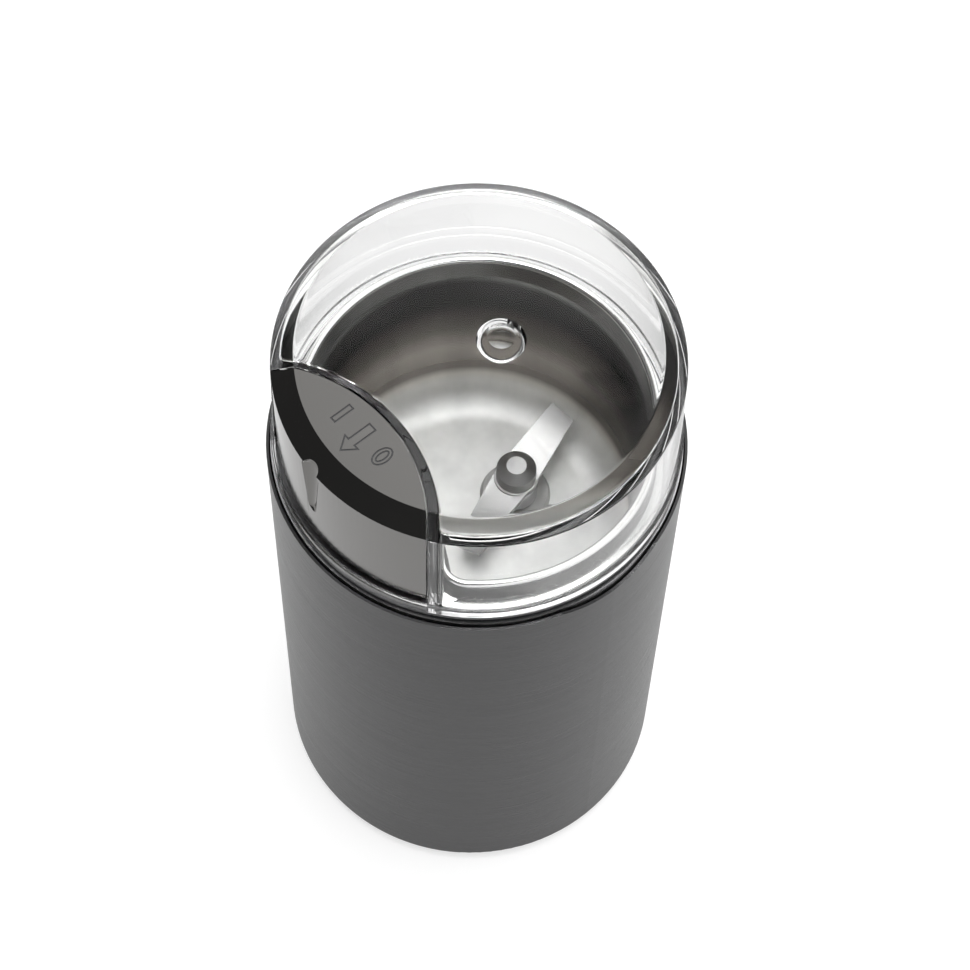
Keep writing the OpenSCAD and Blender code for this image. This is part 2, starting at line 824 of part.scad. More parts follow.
// Two-wing blade: each wing is twisted, and one rises towards its tip while the other drops
module blade() {
    color("silver")
        on_axis(blade_z)
            rotate(blade_rest_angle)
                difference() {
                    union() {
                        cylinder(h = blade_t, r = blade_w / 2);
                        blade_wing(blade_lift);
                        rotate(180) blade_wing(-blade_lift);
                    }
                    translate([0, 0, -cut]) cylinder(h = blade_t + 2 * cut, r = shaft_r + fit);
                }
}

module blade_wing(lift) {
    root_x = shaft_r + 1.2;
    tip_l = 1.5;
    tip_w = 0.62 * blade_w;
    tip_t = blade_t / 2;
    hull() {
        translate([root_x, -blade_w / 2 * 0.9, 0]) cube([eps, blade_w * 0.9, blade_t]);
        translate([blade_r - tip_l - 1, 0, blade_t / 2 + lift])
            rotate([blade_twist, 0, 0])
                translate([0, -tip_w / 2, -tip_t / 2]) cube([tip_l, tip_w, tip_t]);
    }
}

// Domed nut that clamps the blade
module blade_nut() {
    dome_h = nut_h / 3;
    color("silver")
        on_axis(nut_z)
            difference() {
                union() {
                    cylinder(h = nut_h - dome_h, r = nut_d / 2);
                    translate([0, 0, nut_h - dome_h])
                        cylinder(h = dome_h, r1 = nut_d / 2, r2 = nut_d / 4);
                }
                translate([0, 0, -cut]) cylinder(h = shaft_top - nut_z + fit + cut, r = shaft_r + fit);
            }
}

// Bush that holds the blade above the floor
module blade_bush() {
    color("#b9bbbd")
        on_axis(bush_z)
            difference() {
                cylinder(h = blade_z - bush_z, r = bush_r);
                translate([0, 0, -cut]) cylinder(h = blade_z - bush_z + 2 * cut, r = shaft_r + fit);
            }
}

// ---------------------------------------------------------------- motor

module motor_shaft() {
    color("silver") on_axis(shaft_z) cylinder(h = shaft_top - shaft_z, r = shaft_r);
}

// A ring on the motor's axis that slips over the shaft
module shaft_ring(r, z, h) {
    on_axis() ring(r, shaft_r + fit, z, h);
}

// Laminated core with its slots
module armature_core() {
    color("#8d8f94")
        on_axis(stack_z)
            linear_extrude(stack_h)
                difference() {
                    circle(r = armature_r);
                    circle(r = shaft_r + fit);
                    for (i = [0 : slot_count - 1])
                        rotate(360 * i / slot_count) {
                            translate([slot_in_r, -slot_w / 2]) square([slot_out_r - slot_in_r, slot_w]);
                            translate([slot_in_r, -slot_mouth / 2]) square([armature_r, slot_mouth]);
                        }
                }
}

// Copper in the slots, with a bundle of end turns above and below the core
module armature_windings() {
    bundle_r = slot_out_r - fit;
    bar_w = slot_w - 2 * fit;
    color("#b5652a")
        on_axis() {
            for (z = [stack_top + fit, lower_turns_z])
                ring(bundle_r, slot_in_r - 0.6, z, end_turn_h - fit);
            for (i = [0 : slot_count - 1])
                rotate(360 * i / slot_count)
                    translate([slot_in_r + fit, -bar_w / 2, lower_turns_z])
                        cube([bundle_r - slot_in_r - 2 * fit, bar_w, stack_h + 2 * end_turn_h]);
        }
}

// Copper segments round the shaft, with a riser at the top
module commutator() {
    riser_h = 2;
    color("#b87a3d")
        difference() {
            union() {
                shaft_ring(commutator_r, commutator_z, commutator_h);
                shaft_ring(commutator_r + 1, commutator_top - riser_h, riser_h);
            }
            for (i = [0 : slot_count - 1])
                on_axis(commutator_z - cut)
                    rotate(360 * (i + 0.5) / slot_count)
                        translate([commutator_r - 0.8, -0.25, 0]) cube([3, 0.5, commutator_h + 2 * cut]);
        }
}

// Fan under the lower bearing, which draws air in through the base
module cooling_fan() {
    disc_t = 1.2;
    vane_t = 1;
    color("#d8d6cc") {
        shaft_ring(fan_hub_r, fan_z, fan_h);
        shaft_ring(fan_r, fan_top - disc_t, disc_t);
        for (i = [0 : fan_count - 1])
            on_axis(fan_z)
                rotate(360 * i / fan_count)
                    translate([fan_hub_r - 0.5, -vane_t / 2, 0])
                        cube([fan_r - fan_hub_r, vane_t, fan_h - disc_t + eps]);
    }
}

// Washers between the armature and its bearings
module thrust_washers() {
    color("#e8e4d8") {
        shaft_ring(washer_r, upper_bearing_z - fit - washer_t, washer_t);
        shaft_ring(washer_r, lower_bearing_top + fit, washer_t);
    }
}

// Laminated stator with two poles and two coil windows
module stator_core() {
    color("#7c7e83")
        on_axis(stack_z)
            linear_extrude(stack_h)
                difference() {
                    square(stator_side, center = true);
                    circle(r = bore_r);
                    square([window_w, window_h], center = true);
                    for (a = stator_screw_angles)
                        rotate(a)
                            translate([stator_screw_at * sqrt(2), 0]) circle(r = screw_d / 2 + fit, $fn = 32);
                }
}

// Two field coils, each with two sides in the windows and a bend above and below the stator
module field_coils() {
    side_w = window_w / 2 - bore_r - 2 * fit;
    side_h = window_h / 2 - 2 * fit - coil_gap / 2;
    color("#a85a24")
        for (turn = [0, 180])
            on_axis()
                rotate(turn) {
                    both_sides()
                        translate([bore_r + fit, coil_gap / 2, lower_turns_z])
                            cube([side_w, side_h, stack_h + 2 * end_turn_h]);
                    for (z = [lower_turns_z, stack_top + fit])
                        translate([0, 0, z]) field_bend(side_w, end_turn_h - fit);
                }
}

// Half ring that joins the two sides of a field coil
module field_bend(w, h) {
    start = asin(coil_gap / 2 / bore_r);
    rotate(start)
        rotate_extrude(angle = 180 - 2 * start)
            translate([bore_r + fit, 0]) square([w, h]);
}

// Long screws that clamp both brackets to the stator
module stator_screws() {
    color("silver")
        for (a = stator_screw_angles)
            on_axis()
                rotate(a)
                    translate([stator_screw_at * sqrt(2), 0, 0])
                        screw(lower_bracket_z - screw_head_h, upper_bracket_z + bracket_t - lower_bracket_z);
}

// Plate with holes for the stator screws
module bracket_plate(z) {
    side = stator_side - 1;
    on_axis(z)
        linear_extrude(bracket_t)
            difference() {
                union() {
                    square(side, center = true);
                    children();
                }
                for (a = stator_screw_angles)
                    rotate(a)
                        translate([stator_screw_at * sqrt(2), 0]) circle(r = screw_d / 2 + fit, $fn = 32);
            }
}

// Plate under the partition, with the upper bearing's cup and two ears on rubber
module upper_bracket() {
    ear_r = 7;
    cup_top = upper_bearing_z + bearing_h + fit + cup_t;
    color("#b4b7ba")
        difference() {
            union() {
                bracket_plate(upper_bracket_z) {
                    square([mount_span, 2 * ear_r], center = true);
                    both_sides() translate([mount_span / 2, 0]) circle(r = ear_r);
                }
                on_axis(upper_bracket_z) cylinder(h = cup_top - upper_bracket_z, r = cup_r);
            }
            on_axis(upper_bracket_z - cut) cylinder(h = cup_top - upper_bracket_z + 2 * cut, r = shaft_r + 1);
            on_axis(upper_bracket_z - cut)
                cylinder(h = upper_bearing_z + bearing_h + fit - upper_bracket_z + cut, r = bearing_r + fit);
            at_mounts(upper_bracket_z - cut) cylinder(h = bracket_t + 2 * cut, r = grommet_neck_r + fit);
        }
}

// Plate with the lower bearing's cup, the legs to the stator and the blocks under the brushes
module lower_bracket() {
    leg_r = 3;
    block_l = 6;
    color("#a9acb0")
        difference() {
            union() {
                bracket_plate(lower_bracket_z);
                on_axis(lower_cup_z) cylinder(h = lower_bracket_top - lower_cup_z, r = cup_r);
                for (a = stator_screw_angles)
                    on_axis(lower_bracket_z)
                        rotate(a)
                            translate([stator_screw_at * sqrt(2), 0, 0])
                                cylinder(h = stack_z - lower_bracket_z, r = leg_r);
                both_sides()
                    on_axis(lower_bracket_z)
                        translate([holder_x + 1, -holder_w / 2, 0])
                            cube([block_l, holder_w, brush_z - holder_w / 2 - lower_bracket_z]);
            }
            on_axis(lower_cup_z - cut)
                cylinder(h = lower_bracket_top - lower_cup_z + 2 * cut, r = shaft_r + 1);
            on_axis(lower_bearing_z - fit)
                cylinder(h = lower_bracket_top - lower_bearing_z + fit + cut, r = bearing_r + fit);
            for (a = stator_screw_angles)
                on_axis(lower_bracket_z - cut)
                    rotate(a)
                        translate([stator_screw_at * sqrt(2), 0, 0])
                            cylinder(h = stack_z - lower_bracket_z + 2 * cut, r = screw_d / 2 + fit);
        }
}

// Sintered bush with a rounded outside, which sits in a bracket's cup
module bearing(z) {
    color("#b08d57")
        on_axis(z)
            rotate_extrude()
                difference() {
                    intersection() {
                        translate([0, bearing_h / 2]) circle(r = bearing_r);
                        square([bearing_r, bearing_h]);
                    }
                    translate([0, -cut]) square([shaft_r + running, bearing_h + 2 * cut]);
                }
}

module upper_bearing() {
    bearing(upper_bearing_z);
}

module lower_bearing() {
    bearing(lower_bearing_z);
}

// Spring rings that keep the bearings in their cups
module bearing_retainers() {
    retainer_t = 0.5;
    color("silver")
        on_axis() {
            ring(retainer_r, bearing_r_at(upper_bearing_stand) + fit,
                 upper_bracket_z - fit - retainer_t, retainer_t);
            ring(retainer_r, bearing_r_at(lower_bearing_stand) + fit, lower_bracket_top + fit, retainer_t);
        }
}

// Radius of a bearing at a depth below its end
function bearing_r_at(depth) = sqrt(bearing_r ^ 2 - (bearing_h / 2 - depth) ^ 2);

// Rubber rings between the upper bracket and the partition's bosses
module motor_grommets() {
    color("#1d1d1d")
        at_mounts(grommet_z)
            difference() {
                union() {
                    cylinder(h = grommet_lip, r = grommet_r);
                    cylinder(h = boss_z - grommet_z, r = grommet_neck_r);
                    translate([0, 0, boss_z - grommet_z - grommet_lip])
                        cylinder(h = grommet_lip, r = grommet_r);
                }
                translate([0, 0, -cut])
                    cylinder(h = boss_z - grommet_z + 2 * cut, r = mount_screw_d / 2 + fit);
            }
}

// Screws that hang the motor from the partition
module mount_screws() {
    head_h = 1.6;
    color("silver")
        at_mounts(0)
            screw(grommet_z - head_h, boss_z + mount_boss_h - 1 - grommet_z,
                  mount_screw_d, 2 * grommet_neck_r, head_h);
}

// Brass tubes that guide the brushes
module brush_holders() {
    inner = brush_w + 2 * fit;
    color("#c9a44c")
        both_sides()
            on_axis(brush_z)
                translate([holder_x, 0, 0])
                    difference() {
                        translate([0, -holder_w / 2, -holder_w / 2]) cube([holder_l, holder_w, holder_w]);
                        translate([-cut, -inner / 2, -inner / 2])
                            cube([holder_l - holder_wall + cut, inner, inner]);
                    }
}

module carbon_brushes() {
    color("#2b2b2d")
        both_sides()
            on_axis(brush_z)
                translate([brush_x, -brush_w / 2, -brush_w / 2]) cube([brush_l, brush_w, brush_w]);
}

// Springs that press the brushes on the commutator
module brush_springs() {
    wire = 0.25;
    start = brush_x + brush_l + fit;
    length = holder_x + holder_l - holder_wall - fit - start;
    color("silver")
        both_sides()
            on_axis(brush_z)
                translate([start, 0, 0])
                    rotate([0, 90, 0]) coil(brush_w / 2 - 2 * wire, wire, 0, length, 3, 8, 4);
}

// ---------------------------------------------------------------- button and switch

// Lens-shaped push button with a sloped outer edge, a thumb groove, a guide skirt and a stem
module press_button() {
    rib_z = shell_z + 6;
    under_top = lid_top - button_top_t;
    color("#4b4d50")
        difference() {
            union() {
                difference() {
                    union() {
                        button_shell();
                        lens(guide_r, button_arc_r, skirt_bottom, shell_z - skirt_bottom + eps);
                    }
                    lens(guide_r - button_wall, button_arc_r - button_wall,
                         skirt_bottom - cut, under_top - skirt_bottom + cut);
                }
                translate([stem_at[0], stem_at[1], stem_end])
                    cylinder(h = under_top - stem_end + eps, r = stem_r);
                translate([stem_at[0], stem_at[1], collet_z]) cylinder(h = 1.5, r = collet_r);
                lens_rib(rib_z, under_top - rib_z + eps);
            }
            rotate(-notch_turn)
                translate([0, -button_r, slope_z + notch_bite - notch_r]) thumb_groove();
            translate([stem_at[0], stem_at[1], clip_z - fit])
                ring(stem_r + cut, stem_r - clip_depth, 0, clip_t + 2 * fit);
        }
}

// Outer shell of the button, which carries on the lid's outline and its sloped edge
module button_shell() {
    intersection() {
        rotate_extrude($fn = 180)
            polygon([
                [0, shell_z], [button_r, shell_z], [button_r, slope_z],
                [button_flat_r, lid_top], [0, lid_top]
            ]);
        arc_cylinder(button_arc_r, shell_z - cut, lid_top - shell_z + 2 * cut, $fn = 180);
    }
}

// Stiffening rib that ties the stem to the button's side walls
module lens_rib(z, h) {
    rib_w = 1.2;
    intersection() {
        translate([-body_r, stem_at[1] - rib_w / 2, z]) cube([body_d, rib_w, h]);
        lens(guide_r - eps, button_arc_r - eps, z, h);
    }
}

// Cone that tapers to a point at its lower end, with a round top
module thumb_groove() {
    sphere(r = notch_r, $fn = 48);
    translate([0, 0, -notch_h]) cylinder(h = notch_h, r1 = 0.05, r2 = notch_r, $fn = 48);
}

// Return spring between the well's floor and the stem's collar
module button_spring() {
    color("silver")
        translate([stem_at[0], stem_at[1], 0])
            coil(spring_r, spring_wire / 2, well_floor, spring_h, spring_turns);
}

// Clip that keeps the button in its well
module stem_clip() {
    color("silver")
        translate([stem_at[0], stem_at[1], 0])
            ring(stem_r + 1.5, stem_r - clip_depth + fit, clip_z, clip_t);
}

// Momentary switch in the pocket under the well
module switch_body() {
    color("#1f2023")
        translate([stem_at[0], stem_at[1], 0])
            difference() {
                translate([-switch_w / 2, -switch_d / 2, switch_z]) cube([switch_w, switch_d, switch_h]);
                translate([0, 0, plunger_top - plunger_l - button_travel - glide])
                    cylinder(h = plunger_l + button_travel + glide + cut, r = plunger_r + glide / 2);
            }
}

module switch_plunger() {
    color("#c8322b")
        translate([stem_at[0], stem_at[1], plunger_top - plunger_l]) cylinder(h = plunger_l, r = plunger_r);
}

// Push-on tabs under the switch
module switch_terminals() {
    color("#c9a44c")
        both_sides()
            translate([switch_w / 4, stem_at[1] - tab_w / 2, switch_z - tab_l]) cube([tab_t, tab_w, tab_l]);
}

// Suppression capacitor on its pad
module capacitor() {
    color("#d9b23a")
        translate([-capacitor_w / 2, capacitor_y, capacitor_z]) cube([capacitor_w, capacitor_d, capacitor_h]);
}

// ---------------------------------------------------------------- lid

// Clear lid: a stout skirt cut away round the button, a sloped edge, and a flange all the way round
module lid() {
    color("#dfe7ea", 0.4) {
        difference() {
            rotate_extrude($fn = 180)
                polygon([
                    [0, deck_z], [flange_r, deck_z], [flange_r, flange_top], [lid_base_r, flange_top],
                    [lid_top_r, slope_z], [flat_r, lid_top], [0, lid_top]
                ]);
            difference() {
                rotate_extrude($fn = 180)
                    polygon([
                        [0, deck_z - cut], [lid_base_r - lid_wall, deck_z - cut],
                        [lid_top_r - lid_wall, lid_top - lid_top_t], [0, lid_top - lid_top_t]
                    ]);
                arc_cylinder(arc_lid_in_r, deck_z - 2 * cut, lid_h, $fn = 180);
            }
            arc_cylinder(arc_lid_r, flange_top, lid_h, $fn = 180);
            lens(flange_in_r, arc_lid_r, deck_z - cut, flange_h + cut + eps);
            translate([0, pip_offset, lid_top - pip_sink]) cylinder(h = pip_sink + cut, r = pip_r);
        }
        translate([0, pip_offset, lid_top - lid_top_t - pip_drop])
            cylinder(h = pip_drop + eps, r1 = pip_boss_r - pip_drop / 2, r2 = pip_boss_r);
    }
}

// ---------------------------------------------------------------- nodes

sleeve();
trim_ring();
top_housing();
motor_housing();
base_cap();
feet();
base_screws();
cable_inlet();
bowl();
shaft_seal();
blade();
blade_nut();
blade_bush();
motor_shaft();
armature_core();
armature_windings();
commutator();
cooling_fan();
thrust_washers();
stator_core();
field_coils();
stator_screws();
upper_bracket();
lower_bracket();
upper_bearing();
lower_bearing();
bearing_retainers();
motor_grommets();
mount_screws();
brush_holders();
carbon_brushes();
brush_springs();
press_button();
button_spring();
stem_clip();
switch_body();
switch_plunger();
switch_terminals();
capacitor();
lid();
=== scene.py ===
"""Electric spice grinder: finishes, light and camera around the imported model.

Lengths are in millimetres in the constants and in metres in the scene. Angles are in degrees.
"""

import json
import math

import bmesh
import bpy
import numpy as np
from mathutils import Matrix, Vector

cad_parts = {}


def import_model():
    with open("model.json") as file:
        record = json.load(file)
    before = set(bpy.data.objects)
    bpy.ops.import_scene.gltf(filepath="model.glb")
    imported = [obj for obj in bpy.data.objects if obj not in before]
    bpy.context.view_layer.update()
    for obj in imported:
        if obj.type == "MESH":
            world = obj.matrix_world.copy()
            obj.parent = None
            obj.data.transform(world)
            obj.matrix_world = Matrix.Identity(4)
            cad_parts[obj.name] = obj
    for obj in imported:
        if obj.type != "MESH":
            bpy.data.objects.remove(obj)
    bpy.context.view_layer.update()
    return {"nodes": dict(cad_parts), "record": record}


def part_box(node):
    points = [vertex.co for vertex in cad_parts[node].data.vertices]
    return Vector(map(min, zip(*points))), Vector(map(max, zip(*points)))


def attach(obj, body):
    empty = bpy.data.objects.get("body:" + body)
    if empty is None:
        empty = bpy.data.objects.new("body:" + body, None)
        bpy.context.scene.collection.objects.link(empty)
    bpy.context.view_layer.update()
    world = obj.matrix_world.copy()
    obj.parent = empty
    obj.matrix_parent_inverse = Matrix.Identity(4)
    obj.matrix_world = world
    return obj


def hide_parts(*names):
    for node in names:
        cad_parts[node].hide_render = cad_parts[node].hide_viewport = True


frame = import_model()
NODES = frame["nodes"]
MM = 0.001


def low(node):
    """Lowest corner of a node's box, in millimetres"""
    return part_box(node)[0] / MM


def high(node):
    """Highest corner of a node's box, in millimetres"""
    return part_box(node)[1] / MM


# ---------------------------------------------------------------- sizes that pieces share

DECK_Z = low("lid").z
LID_TOP = high("lid").z
FLANGE_R = high("lid").y
BOWL_TOP = high("bowl").z
SHAFT_R = high("motor_shaft").x
MOTOR_AT = (0, (high("motor_shaft").y + low("motor_shaft").y) / 2)
ARC_AT = (0.0, -60.3)  # centre of the arc that the button, the lid and the bowl share
BUTTON_R = 42.4
BUTTON_TOP = LID_TOP
MERGE = 0.002  # points closer than this become one
NEAR_AXIS = 0.02  # a turned profile starts and ends this far from its axis
FRONT = 270  # direction of the button

# ---------------------------------------------------------------- camera

PHOTO_WIDTH = 970  # pixels
FOCAL_LENGTH = 2900  # pixels
CAMERA_AT = (219.5, -194.2, 682.2)
CAMERA_AZIMUTH = 48.1  # looks along +Y turned by this, anticlockwise
CAMERA_DIP = 62.66  # below the horizon
CAMERA_ROLL = 2.0


def placed(name, data):
    """A new object in the scene"""
    obj = bpy.data.objects.new(name, data)
    bpy.context.scene.collection.objects.link(obj)
    return obj


def camera():
    azimuth, dip, roll = (math.radians(a) for a in (CAMERA_AZIMUTH, CAMERA_DIP, CAMERA_ROLL))
    level = Vector((math.cos(azimuth), math.sin(azimuth), 0))
    ahead = Vector((-math.sin(azimuth), math.cos(azimuth), 0))
    forward = math.cos(dip) * ahead - math.sin(dip) * Vector((0, 0, 1))
    right = math.cos(roll) * level + math.sin(roll) * level.cross(forward)
    up = right.cross(forward)
    data = bpy.data.cameras.new("camera")
    data.sensor_fit = "HORIZONTAL"
    data.angle = 2 * math.atan(PHOTO_WIDTH / 2 / FOCAL_LENGTH)
    data.clip_start = 0.01
    obj = placed("camera", data)
    turn = Matrix((right, up, -forward)).transposed().to_4x4()
    obj.matrix_world = Matrix.Translation(Vector(CAMERA_AT) * MM) @ turn
    bpy.context.scene.camera = obj


# ---------------------------------------------------------------- how a material is built


class Finish:
    """A material built from one Principled shader and the nodes that vary it"""

    def __init__(self, name, color, metallic=0.0, roughness=0.5, **sockets):
        self.material = bpy.data.materials.new(name)
        self.material.use_nodes = True
        self.tree = self.material.node_tree
        self.shader = self.tree.nodes["Principled BSDF"]
        self.set("Base Color", (*color, 1))
        self.set("Metallic", metallic)
        self.set("Roughness", roughness)
        for socket, value in sockets.items():
            self.set(socket.replace("_", " "), value)
        self.color, self.roughness = color, roughness
        self.coords = None
        self.bump = None

    def set(self, socket, value):
        """Sets a socket of the shader to a value"""
        self.shader.inputs[socket].default_value = value

    def drive(self, socket, source):
        """Links a socket of the shader to an output"""
        self.link(source, self.shader.inputs[socket])

    def node(self, kind, **values):
        new = self.tree.nodes.new(kind)
        for key, value in values.items():
            if key in new.inputs:
                new.inputs[key].default_value = value
            else:
                setattr(new, key, value)
        return new

    def link(self, source, target):
        self.tree.links.new(source, target)

    def place(self, scale):
        """The object's own coordinates, scaled"""
        if self.coords is None:
            self.coords = self.node("ShaderNodeTexCoord").outputs["Object"]
        mapping = self.node("ShaderNodeMapping")
        mapping.inputs["Scale"].default_value = scale
        self.link(self.coords, mapping.inputs["Vector"])
        return mapping.outputs["Vector"]

    def noise(self, scale, detail=2.0, roughness=0.5):
        new = self.node("ShaderNodeTexNoise", Scale=1.0, Detail=detail, Roughness=roughness)
        self.link(self.place(scale), new.inputs["Vector"])
        return new.outputs["Fac"]

    def layers(self, density):
        """Bands stacked along Z"""
        new = self.node("ShaderNodeTexWave", bands_direction="Z", Scale=1.0)
        self.link(self.place((0, 0, density)), new.inputs["Vector"])
        return new.outputs["Fac"]

    def remap(self, source, low_out, high_out, low_in=0.3, high_in=0.7):
        new = self.node("ShaderNodeMapRange")
        for key, value in zip(("From Min", "From Max", "To Min", "To Max"),
                              (low_in, high_in, low_out, high_out)):
            new.inputs[key].default_value = value
        self.link(source, new.inputs["Value"])
        return new.outputs["Result"]

    def up_part(self, vector):
        """The Z part of a vector"""
        split = self.node("ShaderNodeSeparateXYZ")
        self.link(vector, split.inputs["Vector"])
        return split.outputs["Z"]

    def height(self):
        """Height above the table, in millimetres"""
        return self.up_part(self.place((1 / MM, 1 / MM, 1 / MM)))

    def facing_up(self):
        """1 on a surface that lies flat and faces up"""
        return self.up_part(self.node("ShaderNodeNewGeometry").outputs["Normal"])

    def ramp(self, source, stops):
        """Colours at shares from 0 to 1, blended between"""
        new = self.node("ShaderNodeValToRGB")
        elements = new.color_ramp.elements
        elements.remove(elements[0])
        elements[0].position, elements[0].color = stops[0][0], (*stops[0][1], 1)
        for position, color in stops[1:]:
            elements.new(position).color = (*color, 1)
        self.link(source, new.inputs["Fac"])
        return new.outputs["Color"]

    def mix(self, factor, a, b, blend_type="MIX"):
        """Two colours blended, where each input is an output of a node or a value"""
        new = self.node("ShaderNodeMix", data_type="RGBA", blend_type=blend_type)
        for key, value in (("Factor", factor), ("A", a), ("B", b)):
            if isinstance(value, bpy.types.NodeSocket):
                self.link(value, new.inputs[key])
            else:
                new.inputs[key].default_value = value
        return new.outputs["Result"]

    def turn_to(self, share, color):
        """Goes from the base colour to another as the share goes from 0 to 1"""
        self.drive("Base Color", self.ramp(share, ((0.0, self.color), (1.0, color))))

    def vary_roughness(self, source, amount):
        self.drive("Roughness", self.remap(source, self.roughness - amount, self.roughness + amount))

    def vary_color(self, source, amount):
        """Lightens and darkens the base colour by a share of itself"""
        dark, light = ((*[min(1, c * share) for c in self.color], 1) for share in (1 - amount, 1 + amount))
        self.drive("Base Color", self.mix(self.remap(source, 0, 1), dark, light))

    def add_bump(self, source, depth, strength=1.0):
        new = self.node("ShaderNodeBump", Strength=strength, Distance=depth * MM)
        self.link(source, new.inputs["Height"])
        if self.bump is not None:
            self.link(self.bump, new.inputs["Normal"])
        self.bump = new.outputs["Normal"]
        self.drive("Normal", self.bump)

    def grain(self, scale, detail, roughness, depth, strength):
        """One noise that varies the roughness and raises the surface"""
        source = self.noise(scale, detail)
        self.vary_roughness(source, roughness)
        self.add_bump(source, depth, strength)

    def turned(self, anisotropy, rotation):
        """Brushed round the Z axis"""
        tangent = self.node("ShaderNodeTangent", direction_type="RADIAL", axis="Z")
        self.drive("Tangent", tangent.outputs["Tangent"])
        self.set("Anisotropic", anisotropy)
        self.set("Anisotropic Rotation", rotation)


# ---------------------------------------------------------------- materials


def brushed_sleeve():
    f = Finish("brushed_sleeve", (0.064, 0.064, 0.065), 1.0, 0.3)
    f.turned(0.5, 0.25)
    lines = f.noise((30, 30, 9000), 3, 0.6)
    f.vary_roughness(lines, 0.05)
    f.vary_color(f.noise((20, 20, 4000), 2), 0.08)
    f.add_bump(lines, 0.002)
    return f.material


def ring_metal():
    f = Finish("ring_metal", (0.62, 0.62, 0.63), 1.0, 0.25)
    f.vary_roughness(f.noise((60, 60, 6000)), 0.05)
    return f.material


def housing_plastic():
    """Black plastic, with a plated deck under the lid"""
    f = Finish("housing_plastic", (0.012, 0.012, 0.0125), 0.0, 0.35)
    plated = f.remap(f.height(), 0, 1, DECK_Z - 0.3, DECK_Z - 0.25)
    f.drive("Metallic", plated)
    f.turn_to(plated, (0.15, 0.15, 0.152))
    f.grain((2500, 2500, 2500), 3, 0.08, 0.003, 0.5)
    return f.material


def base_plastic():
    f = Finish("base_plastic", (0.18782, 0.18782, 0.18782), 0.0, 0.45)
    f.grain((3000, 3000, 3000), 3, 0.06, 0.01, 0.5)
    return f.material


def rubber():
    """Black on the feet and the inlet, and pale on the seal in the bowl"""
    f = Finish("rubber", (0.016, 0.016, 0.016), 0.0, 0.6)
    f.turn_to(f.remap(f.height(), 0, 1, 80, 85), (0.5, 0.5, 0.49))
    f.grain((1800, 1800, 1800), 4, 0.08, 0.03, 0.6)
    return f.material


def plain_metal(name, color, roughness=0.28):
    f = Finish(name, color, 1.0, roughness)
    f.grain((900, 900, 900), 3, 0.07, 0.004, 0.4)
    return f.material


PAINTED_WALL_LIGHT = (
    (0.0, (0.99, 0.995, 0.975)), (0.1, (0.99, 0.98, 0.95)), (0.14, (0.88, 0.85, 0.8)),
    (0.19, (0.34, 0.31, 0.285)), (0.36, (0.34, 0.312, 0.285)), (0.5, (0.15, 0.138, 0.128)),
    (0.7, (0.055, 0.054, 0.053)), (0.86, (0.1, 0.1, 0.1)), (0.895, (0.24, 0.24, 0.24)),
    (0.975, (0.3, 0.3, 0.3)), (0.985, (0.9, 0.9, 0.9)),
)  # painted reflections and shade, by the share of the way from the bowl's floor to its rim: a bright floor, a wall that darkens upwards, and a painted highlight band just under the rim
# painted highlight colour for faces that face up
PAINTED_TOP_LIGHT = (0.97, 0.975, 0.955, 1)


def bowl_steel():
    """Steel with painted light: a floor painted bright, a wall painted darker upwards as reflected shade, a
    painted highlight on the rolled rim, and faces that face up painted bright
    """
    f = Finish("bowl_steel", (0.8, 0.8, 0.79), 1.0, 0.2, Specular_Tint=(0.3, 0.3, 0.3, 1))
    share = f.remap(f.height(), 0, 1, BOWL_FLOOR, BOWL_TOP + 0.2)
    flat = f.remap(f.facing_up(), 0, 1, 0.75, 0.95)
    # painted light: the colours by height, blended towards the bright painted colour where a face faces up
    painted_light_color = f.mix(flat, f.ramp(share, PAINTED_WALL_LIGHT), PAINTED_TOP_LIGHT)
    smudges = f.remap(f.noise((90, 90, 14), 3, 0.6), 0.85, 1.05)
    f.drive("Base Color", f.mix(1.0, painted_light_color, smudges, "MULTIPLY"))
    f.drive("Roughness", f.remap(share, 0.55, 0.2, 0.03, 0.3))
    f.drive("Metallic", f.remap(share, 0.6, 1.0, 0.03, 0.2))
    f.add_bump(f.noise((38, 38, 30), 3, 0.55), 0.05, 0.5)
    return f.material


def blade_steel():
    f = Finish("blade_steel", (0.42, 0.42, 0.415), 1.0, 0.48)
    f.grain((300, 5000, 300), 3, 0.06, 0.003, 0.5)
    return f.material


def laminations():
    """Stacked sheets of the motor's iron"""
    f = Finish("laminations", (0.2, 0.205, 0.215), 1.0, 0.42)
    f.add_bump(f.layers(320), 0.08)
    f.vary_roughness(f.noise((700, 700, 2500)), 0.1)
    return f.material


def copper():
    """Lacquered winding wire"""
    f = Finish("copper", (0.6, 0.22, 0.09), 1.0, 0.3, Coat_Weight=0.5)
    f.add_bump(f.layers(420), 0.12)
    f.vary_color(f.noise((400, 400, 400)), 0.15)
    return f.material


def moulded(name, color, roughness=0.5):
    f = Finish(name, color, 0.0, roughness)
    f.grain((1500, 1500, 1500), 3, 0.06, 0.01, 0.4)
    return f.material


def button_plastic():
    """Plated plastic with a faint orange peel"""
    f = Finish("button_plastic", (0.178, 0.174, 0.168), 1.0, 0.13)
    f.vary_roughness(f.noise((120, 120, 120), 2), 0.02)
    f.add_bump(f.noise((45, 45, 45), 1), 0.03, 0.35)
    return f.material


def clear_plastic():
    f = Finish("clear_plastic", (1, 1, 1), 0.0, 0.0,
               Transmission_Weight=1.0, IOR=1.49, Specular_Tint=(0.15, 0.15, 0.15, 1))
    f.add_bump(f.noise((18, 18, 18), 1), 0.02, 0.3)
    return f.material


